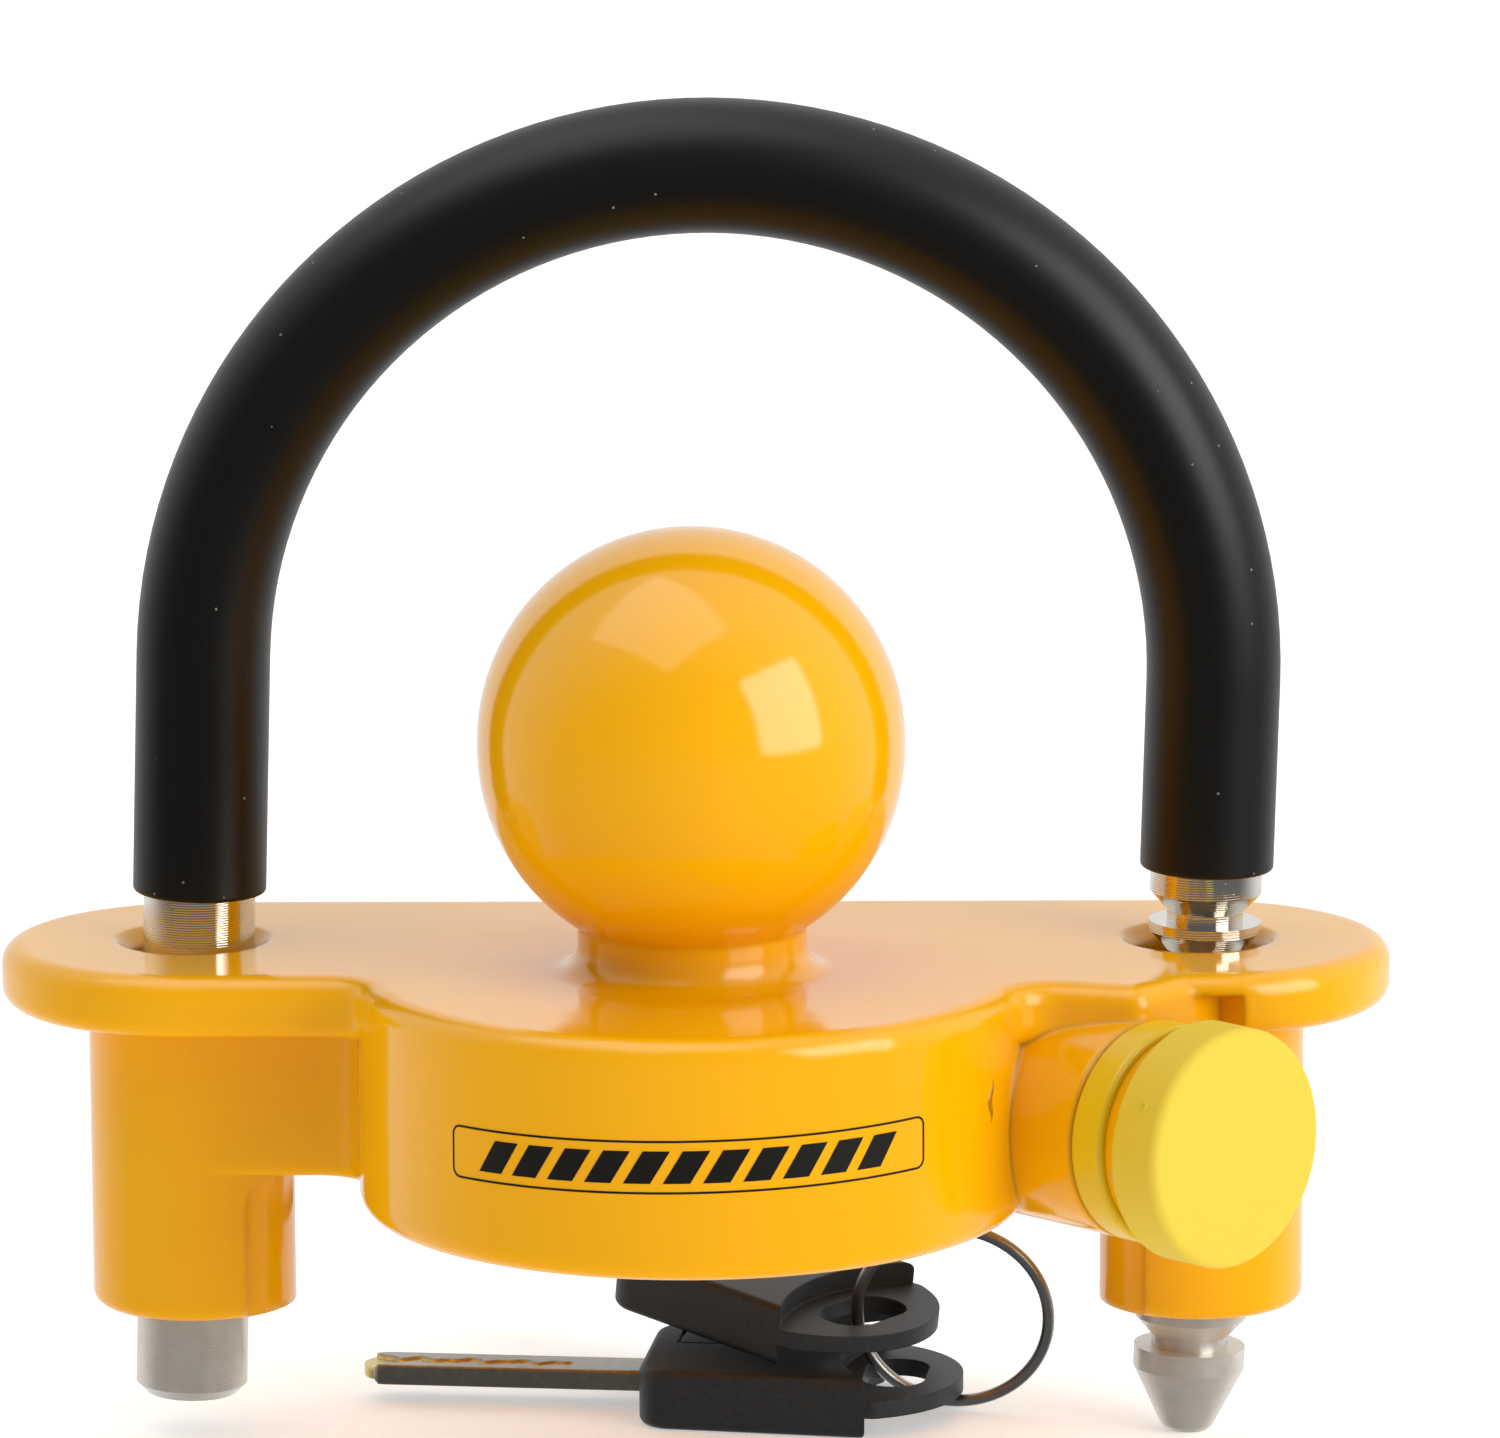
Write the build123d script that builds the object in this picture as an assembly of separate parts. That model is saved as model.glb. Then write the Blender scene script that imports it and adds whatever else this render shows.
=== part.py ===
from build123d import *
import math
import os

# Trailer coupler lock: a cast body with a lock ball goes up into the coupler's socket and a
# U-shackle drops over the coupler, so that its notched leg is caught by a keyed pawl.
# Frame: millimetres, origin at the ball's centre, +Z up along the ball's axis, +X towards the
# notched leg and the lock, -Y the side that the lock faces.

LOW = (Align.CENTER, Align.CENTER, Align.MIN)
HIGH = (Align.CENTER, Align.CENTER, Align.MAX)

# ---------------------------------------------------------------- driving dimensions: casting
ball_diameter = 47.6            # fits 1-7/8 in couplers and larger
ball_band = 0.8                 # straight band at the parting line, so the lower half hangs fuller
neck_diameter = 25.6
neck_fillet = 3.0
plate_top_z = -26.0             # ball centre down to the plate's top face
plate_thickness = 7.0
plate_edge_radius = 2.3
lobe_radius = 21.7
brow_overhang = 0.8             # how far the brow over the lock stands past the ring's seat
brow_length = 9.0               # the brow's front edge along the lock's face
brow_root_angle = 11.5          # where the brow leaves the drum, degrees towards the lock from +X
brow_corner_radius = 2.5
leg_spacing = 113.8             # between the two shackle legs
shackle_y = 16.5                # the shackle stands behind the ball
drum_radius = 37.4
drum_height = 26.8              # plate top down to the drum's rim
drum_wall = 5.2
drum_edge_radius = 2.4
boss_diameter = 24.0
boss_length = 42.0              # plate top down to the boss's end
boss_edge_radius = 1.6
boss_step_offset = 6.2          # under the web the boss's flank is drawn in from here inwards
boss_step_depth = 0.9
boss_step_radius = 4.0
web_height = 25.0               # plate top down to the web's lower edge
web_edge_radius = 1.2
corner_radius = 5.0             # plan fillets between drum, webs and plate
core_diameter = 14.0            # cored hole up the neck into the ball
core_top_z = 4.0
dish_radius = 8.8               # countersink round each leg hole
dish_depth = 1.6

# ---------------------------------------------------------------- driving dimensions: shackle
leg_diameter = 12.7
shackle_lean = 1.8              # degrees: the shackle leans over in its loose holes
arch_centre_z = 5.2
left_leg_end_z = -80.6
right_leg_end_z = -81.6
leg_end_chamfer = 1.2
leg_side_clearance = 0.2        # left in the bore once the shackle has leaned over
sleeve_wall = 1.15
sleeve_clearance = 0.05
sleeve_left_end_z = -22.2
sleeve_right_end_z = -16.2
sleeve_edge_radius = 0.5
tooth_pitch = 4.5
tooth_land = 1.1
tooth_cone = 2.2
tooth_depth = 2.0
tooth_count = 12                # notches above the tip
tip_land = 2.5
tip_cone = 7.3
tip_end_radius = 3.0
tip_end_chamfer = 0.5

# ---------------------------------------------------------------- driving dimensions: lock
lock_angle = 45.0               # degrees the lock turns from -Y towards +X
lock_z = -42.0
lock_offset = 23.6              # lock axis to the notched leg's axis
housing_radius = 12.4
housing_seat_x = 14.4           # seat of the ring, along the lock axis from the pawl's axis
housing_inner_x = -6.0
nose_radius = 11.5
nose_end_x = 26.6
nose_chamfer = 0.6
barrel_radius = 9.0
barrel_length = 17.0
barrel_recess = 0.4             # barrel face behind the nose's end
barrel_clearance = 0.05
barrel_gap = 2.2                # pawl's axis hole wall to the lock bore's floor
shield_thickness = 0.8
plug_to_barrel = 2 / 3          # plug's radius over the barrel's
plug_clearance = 0.05
plug_recess = 0.2               # plug's face behind the barrel's face
tail_radius = 4.0
clip_thickness = 0.8
clip_radius = 5.6
clip_opening = 3.0
clip_groove_depth = 0.6
clip_clearance = 0.1
cam_thickness = 2.2
cam_radius = 5.4
cam_tail_length = 1.6           # barrel's rear to the cam, with the clip between
cam_pin_radius = 1.5
cam_pin_offset = 1.65
cam_pin_clearance = 0.18
cam_pin_end_gap = 0.4           # room over and under the pin in the pawl's pocket
cam_pin_reach = 3.2             # pawl's far side to the pin's tip
cam_rest_angle = 45.0           # degrees of the pin from straight up, each side of its stroke
wafer_count = 7
wafer_thickness = 0.7
wafer_pitch = 1.7
wafer_first_x = 3.0             # first wafer behind the plug's face
wafer_width = 8.6
wafer_clearance = 0.08
wafer_height_play = 0.2
wafer_window_play = 0.4
wafer_rail_height = 1.0         # what the window leaves above and below it
wafer_spring_sink = 0.4         # springs' ends below the plug's surface
wafer_chamber_width = 3.0
wafer_chamber_rise = 1.6        # chamber's height above the plug
key_slot_width = 7.2
key_slot_thickness = 2.8
key_slot_depth = 14.8
pawl_radius = 4.5
pawl_clearance = 0.05
pawl_nose_length = 2.2
pawl_leg_gap = 0.35             # nose to leg with the pawl drawn back
pawl_notch_gap = 0.26
pawl_rear_y = -4.8
pawl_slot_depth = 7.0
spring_plug_length = 3.0
spring_plug_outer_y = -12.6
hex_socket_size = 4.0
hex_socket_depth = 1.8
pawl_spring_wire = 0.7
pawl_spring_diameter = 7.0
pawl_spring_turns = 4.0
retaining_pin_diameter = 3.0
retaining_pin_x = 11.2          # along the lock axis from the pawl's axis
retaining_pin_bite = 1.6        # how far it reaches into the barrel
retaining_pin_sink = 0.3        # its end below the housing's surface
relief_half_width = 11.8        # square pocket that lets the ring and cap in under the plate's lip
lip_thickness = 2.1             # what it leaves of the plate above

# ---------------------------------------------------------------- driving dimensions: dust cap
ring_thickness = 4.5
ring_radius = 12.4
ring_clearance = 0.03
ring_seat_gap = 0.02
ring_relief_gap = 0.9           # room round the ring in its pocket
ring_edge_radius = 0.7
cap_gap = 2.7                   # ring to cap
cap_radius = 13.4
cap_length = 6.6
cap_front_wall = 1.5
cap_clearance = 0.6
cap_edge_radius = 1.1
cap_rear_edge_radius = 0.4
strap_width = 6.0
strap_thickness = 1.0
strap_end_gap = 0.4
strap_lift = 0.02               # glue line between ring and tab

# ---------------------------------------------------------------- driving dimensions: keys
key_head_length = 36.5
key_head_width = 26.4
key_head_root_width = 22.5
key_head_thickness = 7.0
key_shoulder = 27.5             # where the head's sides end and its arc begins
key_web_thickness = 2.0
key_web_start = 22.6
key_hole_length = 12.4
key_hole_width = 7.2
key_ridge_radius = 24.0         # the curved step down to the thin end
key_edge_radius = 1.0
key_panel_length = 18.0         # the outline engraved beside the middle of each face
key_panel_width = 6.0
key_panel_offset = -4.4
key_panel_start = 3.2
key_panel_line = 0.5
key_panel_depth = 0.3
key_blade_offset = 0.4          # groove off the blade's centre line
key_hole_centre = 28.8
key_corner_radius = 4.0
key_shoulder_radius = 1.6
key_blade_width = 6.2
key_blade_thickness = 2.4
key_blade_length = 33.0
key_blade_root = 12.0           # buried in the head
key_tip_rounding = 0.42         # tip's corner radius over the blade's width
key_groove_width = 1.5
key_groove_depth = 0.5
key_groove_share = 0.72         # groove's length over the blade's
key_fit = 0.02
ring_wire = 1.4
ring_centre_radius = 11.0
ring_bottom_gap = 0.5           # ring's lowest point above the surface
ring_lean = 12.0
key_a_place = (-6.0, 27.0)      # blade end of the first key's head
key_a_heading = -96.0
key_b_swing = -30.0
key_b_tilt = -6.5
key_b_shift = -4.3              # the second eye hangs forward of the first along its head
key_stack_gap = 0.35

# ---------------------------------------------------------------- derived values
ball_radius = ball_diameter / 2
neck_radius = neck_diameter / 2
leg_x = leg_spacing / 2
leg_radius = leg_diameter / 2
boss_radius = boss_diameter / 2
plate_under_z = plate_top_z - plate_thickness
drum_rim_z = plate_top_z - drum_height
boss_end_z = plate_top_z - boss_length
web_under_z = plate_top_z - web_height
bore_mid_z = plate_top_z - boss_length / 2
lean_drift = boss_length / 2 * math.tan(math.radians(shackle_lean))
bore_radius = leg_radius + lean_drift + leg_side_clearance
notch_radius = leg_radius - tooth_depth
sleeve_inner_radius = leg_radius + sleeve_clearance
sleeve_outer_radius = sleeve_inner_radius + sleeve_wall
tip_shoulder_z = right_leg_end_z + tip_cone + tip_land

plug_radius = barrel_radius * plug_to_barrel
sin_lock = math.sin(math.radians(lock_angle))
cos_lock = math.cos(math.radians(lock_angle))
lock_direction = (sin_lock, -cos_lock, 0)
pawl_direction = (cos_lock, sin_lock, 0)
lock_foot_x = leg_x - lock_offset * pawl_direction[0]
lock_foot_y = shackle_y - lock_offset * pawl_direction[1]
# Lock frame: x out towards the key, y towards the notched leg, z up, origin on the lock's axis
# where the pawl's axis crosses it.
lock_plane = Plane(origin=(lock_foot_x, lock_foot_y, lock_z), x_dir=lock_direction, z_dir=(0, 0, 1))

barrel_face_x = nose_end_x - barrel_recess
barrel_rear_x = barrel_face_x - barrel_length
lock_bore_floor_x = pawl_radius + pawl_clearance - barrel_gap
cam_front_x = barrel_rear_x - cam_tail_length
cam_rear_x = cam_front_x - cam_thickness
cam_pin_tip_x = -pawl_radius + cam_pin_reach
plug_front_x = barrel_face_x - plug_recess
pawl_stroke = 2 * cam_pin_offset * math.sin(math.radians(cam_rest_angle))
cam_pin_y = -pawl_stroke / 2
cam_pin_z = cam_pin_offset * math.cos(math.radians(cam_rest_angle))

lean_at_lock = (lock_z - bore_mid_z) * math.tan(math.radians(shackle_lean)) * pawl_direction[0]
leg_surface_y = lock_offset - leg_radius + lean_at_lock
pawl_nose_y = leg_surface_y - pawl_leg_gap
pawl_face_y = pawl_nose_y - pawl_nose_length
# The notch nearest the lock's height: its flat shoulder is what the pawl's nose sits on.
lean_drop = leg_x * math.sin(math.radians(shackle_lean))
catch_index = round((lock_z + lean_drop - tip_shoulder_z) / tooth_pitch)
catch_z = tip_shoulder_z + catch_index * tooth_pitch - lean_drop

cap_back_x = housing_seat_x + ring_thickness + cap_gap
relief_radius = ring_radius + ring_relief_gap
relief_height = plate_top_z - lip_thickness - lock_z
pin_top_z = -barrel_radius + retaining_pin_bite
# The surface the keys lie on is level with the lowest point of the notched leg's leaning tip.
tip_reach = leg_x + tip_end_radius - tip_end_chamfer
floor_z = (bore_mid_z + (right_leg_end_z - bore_mid_z) * math.cos(math.radians(shackle_lean))
           - tip_reach * math.sin(math.radians(shackle_lean)))


def revolved(points):
    """A solid turned about +Z from a closed outline of (radius, height) points."""
    outline = Polyline(*[(r, 0, z) for r, z in points], close=True)
    return revolve(make_face(outline), axis=Axis.Z)


def edges_at(shape, z):
    """The edges of a shape that lie whole at one height."""
    return shape.edges().filter_by_position(Axis.Z, z - 0.01, z + 0.01)


def lay(shape):
    """Turn a shape that stands on +Z so that its axis runs along the lock's axis."""
    return Rot(0, 90, 0) * shape


def in_lock(shape):
    """Place a shape made in the lock frame."""
    return lock_plane * shape


def lean(shape):
    """Lean a shackle piece over about the middle of its bores."""
    return shape.rotate(Axis((0, shackle_y, bore_mid_z), (0, 1, 0)), shackle_lean)


def keep(shape, name):
    export_step(Part() + shape, f"parts/{name}.step")


# ---------------------------------------------------------------- casting
def plate():
    """The flat plate: two lobes with a straight back edge, the drum's disc and the brow over the
    lock, with soft top and bottom edges."""
    seat_x = lock_foot_x + housing_seat_x * lock_direction[0]
    seat_y = lock_foot_y + housing_seat_x * lock_direction[1]
    brow_front = (seat_x - brow_overhang, seat_y - brow_overhang)
    brow_back = (seat_x + brow_length, seat_y + brow_length)
    root_angle = math.radians(brow_root_angle)
    brow_root = (drum_radius * math.cos(root_angle), -drum_radius * math.sin(root_angle))
    brow = make_face(Polyline((0, 0), brow_root, brow_front, brow_back, (leg_x, shackle_y), close=True))
    outline = Pos(0, shackle_y) * SlotCenterToCenter(leg_spacing, 2 * lobe_radius)
    outline += Circle(drum_radius)
    outline += brow
    front_y = shackle_y - lobe_radius
    left_corner = outline.vertices().sort_by_distance((-drum_radius, front_y, 0))[0]
    right_corner = outline.vertices().sort_by_distance((*brow_root, 0))[0]
    outline = fillet([left_corner, right_corner], corner_radius)
    nose_corner = outline.vertices().sort_by_distance((*brow_front, 0))[0]
    outline = fillet([nose_corner], brow_corner_radius)
    slab = Pos(0, 0, plate_under_z) * extrude(outline, plate_thickness)
    slab = fillet(edges_at(slab, plate_top_z) + edges_at(slab, plate_under_z), plate_edge_radius)
    return slab


def drum():
    depth = drum_height - plate_edge_radius
    cup = Pos(0, 0, drum_rim_z) * Cylinder(drum_radius, depth, align=LOW)
    return fillet(edges_at(cup, drum_rim_z), drum_edge_radius)


def webs():
    """The web that joins both bosses to the drum, with plan fillets where it meets the drum."""
    inner = drum_radius - drum_wall / 2
    outline = Pos(0, shackle_y) * SlotCenterToCenter(leg_spacing, boss_diameter) + Circle(drum_radius)
    corners = [v for v in outline.vertices() if abs(math.hypot(v.X, v.Y) - drum_radius) < 0.1]
    outline = fillet(corners, corner_radius)
    outline -= Circle(inner)
    top_z = plate_under_z + plate_edge_radius
    block = Pos(0, 0, web_under_z) * extrude(outline, top_z - web_under_z)
    lower = [e for e in edges_at(block, web_under_z) if math.hypot(e.center().X, e.center().Y) > drum_radius]
    return fillet(lower, web_edge_radius)


def boss(side):
    height = boss_length - plate_edge_radius
    post = Pos(side * leg_x, shackle_y, boss_end_z) * Cylinder(boss_radius, height, align=LOW)
    return fillet(edges_at(post, boss_end_z), boss_edge_radius)


def boss_step(side):
    """What is drawn in from a boss's flank on the drum's side, with a round corner up at the web."""
    height = web_under_z - boss_end_z
    shell = Cylinder(boss_radius + 1, height, align=LOW)
    shell -= Cylinder(boss_radius - boss_step_depth, height, align=LOW)
    outline = Rectangle(boss_radius, height, align=(Align.MIN, Align.MIN))
    inner_top = outline.vertices().sort_by_distance((0, height, 0))[0]
    outline = fillet([inner_top], boss_step_radius)
    flank = Pos(boss_step_offset, 0, 0) * extrude(Plane.XZ * outline, boss_radius + 1, both=True)
    cut = Pos(-leg_x, shackle_y, boss_end_z) * (shell & flank)
    return cut if side < 0 else mirror(cut, about=Plane.YZ)


def ball_and_neck():
    """The lock ball, its neck and the neck's flared foot, turned as one outline."""
    foot_z = plate_top_z - plate_edge_radius
    foot_radius = neck_radius + neck_fillet
    join_depth = math.sqrt(ball_radius**2 - neck_radius**2)
    join_angle = math.degrees(math.atan2(join_depth, neck_radius))
    outline = [
        Line((0, ball_radius), (0, foot_z)),
        Line((0, foot_z), (foot_radius, foot_z)),
        Line((foot_radius, foot_z), (foot_radius, plate_top_z)),
        CenterArc((foot_radius, plate_top_z + neck_fillet), neck_fillet, 270, -90),
        Line((neck_radius, plate_top_z + neck_fillet), (neck_radius, -ball_band - join_depth)),
        CenterArc((0, -ball_band), ball_radius, -join_angle, join_angle),
        Line((ball_radius, -ball_band), (ball_radius, 0)),
        CenterArc((0, 0), ball_radius, 0, 90),
    ]
    return revolve(Plane.XZ * make_face(Curve() + outline), axis=Axis.Z)


def lock_cavities():
    """Everything bored into the casting for the lock, in the lock frame."""
    bore_length = nose_end_x - lock_bore_floor_x + 1
    bore = Cylinder(barrel_radius + barrel_clearance, bore_length, align=LOW)
    bore = Pos(lock_bore_floor_x, 0, 0) * lay(bore)
    start_y = spring_plug_outer_y - spring_plug_length
    pawl_bore = Cylinder(pawl_radius + pawl_clearance, lock_offset - start_y, align=LOW)
    pawl_bore = Pos(0, start_y, 0) * Rot(-90, 0, 0) * pawl_bore
    pin = Pos(retaining_pin_x, 0, pin_top_z)
    pin = pin * Cylinder(retaining_pin_diameter / 2, housing_radius, align=HIGH)
    return [bore, pawl_bore, pin]


def lock_relief():
    """The milled pocket in front of the ring's seat, under the plate's lip and clear of the nose."""
    depth = nose_end_x - housing_seat_x
    pocket = lay(Cylinder(relief_radius, depth, align=LOW))
    square = Box(depth, 2 * relief_half_width, relief_height, align=(Align.MIN, Align.CENTER, Align.MIN))
    pocket += square
    pocket -= lay(Cylinder(nose_radius, depth, align=LOW))
    return Pos(housing_seat_x, 0, 0) * pocket


def lock_nose():
    """The round spout that the ring sits on, rooted inside the housing."""
    root_x = housing_seat_x - 1
    spout = Cylinder(nose_radius, nose_end_x - root_x, align=LOW)
    spout = chamfer(edges_at(spout, nose_end_x - root_x), nose_chamfer)
    return Pos(root_x, 0, 0) * lay(spout)


def body_casting():
    """One iron casting: plate, hollow drum, webs, leg bosses, lock housing, neck and ball."""
    cast = plate() + drum() + webs() + boss(-1) + boss(1) + ball_and_neck()
    hollow = Cylinder(drum_radius - drum_wall, drum_height - plate_thickness, align=LOW)
    cast -= Pos(0, 0, drum_rim_z) * hollow
    core_radius = core_diameter / 2
    core = Pos(0, 0, plate_under_z - 1) * Cylinder(core_radius, core_top_z - plate_under_z + 1, align=LOW)
    cast -= core + Pos(0, 0, core_top_z) * Sphere(core_radius)
    housing_length = housing_seat_x - housing_inner_x
    housing = Pos(housing_inner_x, 0, 0) * lay(Cylinder(housing_radius, housing_length, align=LOW))
    cast += in_lock(housing)
    cast -= in_lock(lock_relief())
    cast += in_lock(lock_nose())
    for cavity in lock_cavities():
        cast -= in_lock(cavity)
    for side in (-1, 1):
        cast -= boss_step(side)
        cast -= Pos(side * leg_x, shackle_y, boss_end_z - 1) * Cylinder(bore_radius, boss_length + 2, align=LOW)
        dish = Cone(bore_radius, dish_radius, dish_depth, align=LOW)
        cast -= Pos(side * leg_x, shackle_y, plate_top_z - dish_depth) * dish
    return cast


# ---------------------------------------------------------------- shackle
def shackle_bar():
    """One steel rod bent to a U: a plain left leg and a right leg turned with notches."""
    arch = Torus(leg_x, leg_radius, major_angle=180, align=None)
    arch = Pos(0, shackle_y, arch_centre_z) * Rot(90, 0, 0) * arch
    left = Cylinder(leg_radius, arch_centre_z - left_leg_end_z, align=LOW)
    left = Pos(-leg_x, shackle_y, left_leg_end_z) * left
    left = chamfer(edges_at(left, left_leg_end_z), leg_end_chamfer)
    end_z = right_leg_end_z
    points = [(0, end_z), (tip_end_radius - tip_end_chamfer, end_z), (tip_end_radius, end_z + tip_end_chamfer)]
    points += [(leg_radius, end_z + tip_cone), (leg_radius, tip_shoulder_z), (notch_radius, tip_shoulder_z)]
    for index in range(1, tooth_count + 1):
        shoulder = tip_shoulder_z + index * tooth_pitch
        points += [
            (notch_radius, shoulder - tooth_land - tooth_cone),
            (leg_radius, shoulder - tooth_land),
            (leg_radius, shoulder),
        ]
        if index < tooth_count:
            points += [(notch_radius, shoulder)]
    points += [(leg_radius, arch_centre_z), (0, arch_centre_z)]
    right = Pos(leg_x, shackle_y, 0) * revolved(points)
    return lean(arch + left + right)


def shackle_sleeve():
    """The soft tube pushed over the bar from end to end."""
    def tube(radius, extra):
        shape = Torus(leg_x, radius, major_angle=180, align=None)
        shape = Pos(0, shackle_y, arch_centre_z) * Rot(90, 0, 0) * shape
        for side, end_z in ((-1, sleeve_left_end_z), (1, sleeve_right_end_z)):
            length = arch_centre_z - end_z + extra
            shape += Pos(side * leg_x, shackle_y, end_z - extra) * Cylinder(radius, length, align=LOW)
        return shape
    outer = tube(sleeve_outer_radius, 0)
    ends = edges_at(outer, sleeve_left_end_z) + edges_at(outer, sleeve_right_end_z)
    outer = fillet(ends, sleeve_edge_radius)
    return lean(outer - tube(sleeve_inner_radius, 1))


# ---------------------------------------------------------------- lock barrel, in the lock frame
def lock_barrel():
    """The fixed steel cylinder, with chambers for the wafers and a dimple for its pin."""
    length = barrel_length - shield_thickness
    body = Pos(barrel_rear_x, 0, 0) * lay(Cylinder(barrel_radius, length, align=LOW))
    body -= Pos(barrel_rear_x, 0, 0) * lay(Cylinder(plug_radius + plug_clearance, barrel_length, align=LOW))
    front = plug_front_x - wafer_first_x + wafer_thickness
    rear = front - (wafer_count - 1) * wafer_pitch - 2 * wafer_thickness
    chamber = Box(front - rear, wafer_chamber_width, 2 * (plug_radius + wafer_chamber_rise))
    body -= Pos((front + rear) / 2, 0, 0) * chamber
    body -= Pos(retaining_pin_x, 0, pin_top_z) * Cylinder(retaining_pin_diameter / 2, barrel_radius, align=HIGH)
    return body


def face_shield():
    """The thin stainless washer rolled over the barrel's face."""
    washer = Cylinder(barrel_radius, shield_thickness, align=LOW)
    washer -= Cylinder(plug_radius + 2 * plug_clearance, shield_thickness, align=LOW)
    return Pos(barrel_face_x - shield_thickness, 0, 0) * lay(washer)


def lock_plug():
    """The turning plug, slotted for the key and the wafers, with a grooved tail."""
    length = plug_front_x - barrel_rear_x
    plug = Pos(barrel_rear_x, 0, 0) * lay(Cylinder(plug_radius, length, align=LOW))
    plug += Pos(cam_front_x, 0, 0) * lay(Cylinder(tail_radius, barrel_rear_x - cam_front_x, align=LOW))
    groove_width = clip_thickness + clip_clearance
    groove = Cylinder(tail_radius + 1, groove_width, align=LOW)
    groove -= Cylinder(tail_radius - clip_groove_depth, groove_width, align=LOW)
    plug -= Pos(barrel_rear_x - groove_width, 0, 0) * lay(groove)
    slot = Box(2 * key_slot_depth, key_slot_thickness, key_slot_width)
    plug -= Pos(plug_front_x, 0, 0) * slot
    for index in range(wafer_count):
        x = plug_front_x - wafer_first_x - index * wafer_pitch
        gap = Box(wafer_thickness + 2 * wafer_clearance, wafer_width + 2 * wafer_clearance, 3 * plug_radius)
        plug -= Pos(x, 0, 0) * gap
    return plug


def wafers():
    """Brass leaves across the plug, each with a window for the key's blade."""
    group = []
    for index in range(wafer_count):
        x = plug_front_x - wafer_first_x - index * wafer_pitch
        height = 2 * math.sqrt(plug_radius**2 - (wafer_width / 2) ** 2) - wafer_height_play
        leaf = Box(wafer_thickness, wafer_width, height)
        window_width = key_slot_thickness + wafer_window_play
        leaf -= Box(2 * wafer_thickness, window_width, height - 2 * wafer_rail_height)
        group.append(in_lock(Pos(x, 0, 0) * leaf))
    return group


def wafer_springs():
    """Small coil springs beside the wafers, drawn as their closed outer tubes."""
    group = []
    for index in range(wafer_count):
        x = plug_front_x - wafer_first_x - index * wafer_pitch
        top_z = plug_radius - wafer_spring_sink
        height = math.sqrt(plug_radius**2 - (wafer_width / 2) ** 2)
        coil = Cylinder(wafer_thickness / 2, top_z - height, align=LOW)
        group.append(in_lock(Pos(x, 0, height) * coil))
    return group


def plug_clip():
    """The spring clip in the tail's groove that stops the plug from pulling out."""
    inner = tail_radius - clip_groove_depth + clip_clearance
    clip = Cylinder(clip_radius, clip_thickness, align=LOW) - Cylinder(inner, clip_thickness, align=LOW)
    clip -= Pos(0, clip_radius, 0) * Box(clip_opening, 2 * clip_radius, 4 * clip_thickness)
    return Pos(barrel_rear_x - clip_thickness - clip_clearance / 2, 0, 0) * lay(clip)


def plug_cam():
    """The disc staked on the plug's tail, with the off-centre pin that throws the pawl."""
    disc = Pos(cam_rear_x, 0, 0) * lay(Cylinder(cam_radius, cam_thickness, align=LOW))
    pin_length = cam_rear_x - cam_pin_tip_x
    pin = Pos(cam_pin_tip_x, cam_pin_y, cam_pin_z) * lay(Cylinder(cam_pin_radius, pin_length, align=LOW))
    return disc + pin


def pawl():
    """The round bolt: a wedge nose for the notch and a pocket for the cam's pin."""
    bolt = Pos(0, pawl_rear_y, 0) * Rot(-90, 0, 0) * Cylinder(pawl_radius, pawl_nose_y - pawl_rear_y, align=LOW)
    shoulder = catch_z - lock_z + pawl_notch_gap
    slope = tooth_cone / tooth_depth
    neck_space = tooth_pitch - tooth_land - tooth_cone
    tip_top = shoulder + neck_space - 2 * pawl_notch_gap
    root_top = tip_top + slope * pawl_nose_length
    side = make_face(Polyline(
        (0, pawl_face_y, shoulder), (0, pawl_nose_y, shoulder),
        (0, pawl_nose_y, tip_top), (0, pawl_face_y, root_top), close=True))
    nose = extrude(side, pawl_radius, dir=(1, 0, 0), both=True)
    block = Box(4 * pawl_radius, 2 * pawl_nose_length, 4 * pawl_radius)
    bolt -= Pos(0, pawl_nose_y, 0) * block - nose
    pin_space = cam_pin_radius + cam_pin_clearance
    low_z = cam_pin_z - cam_pin_radius - cam_pin_end_gap
    high_z = cam_pin_offset + cam_pin_radius + cam_pin_end_gap
    inner_low = (Align.MAX, Align.CENTER, Align.MIN)
    pocket = Box(pawl_slot_depth + 1, 2 * pin_space, high_z - low_z, align=inner_low)
    return bolt - Pos(pawl_radius + 1, cam_pin_y, low_z) * pocket


def spring_plug():
    """The socket screw that closes the pawl's bore on the drum's side."""
    screw = Pos(0, spring_plug_outer_y, 0) * Rot(-90, 0, 0) * Cylinder(pawl_radius, spring_plug_length, align=LOW)
    hexagon = RegularPolygon(hex_socket_size / 2, 6, major_radius=False)
    socket = Rot(-90, 0, 0) * extrude(hexagon, hex_socket_depth)
    return screw - Pos(0, spring_plug_outer_y, 0) * socket


def pawl_spring():
    """The coil spring between the screw and the pawl."""
    start = spring_plug_outer_y + spring_plug_length
    wire = pawl_spring_wire
    free = pawl_rear_y - start - wire
    centre_radius = (pawl_spring_diameter - wire) / 2
    path = Helix(free / pawl_spring_turns, free, centre_radius)
    section = Plane(origin=path @ 0, z_dir=path % 0) * Circle(wire / 2)
    coil = sweep(section, path=path)
    return Pos(0, start + wire / 2, 0) * Rot(-90, 0, 0) * coil


def barrel_pin():
    """The pin driven up through the housing into the barrel."""
    bottom_z = -math.sqrt(housing_radius**2 - (retaining_pin_diameter / 2) ** 2) + retaining_pin_sink
    pin = Cylinder(retaining_pin_diameter / 2, pin_top_z - bottom_z, align=LOW)
    return Pos(retaining_pin_x, 0, bottom_z) * pin


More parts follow.
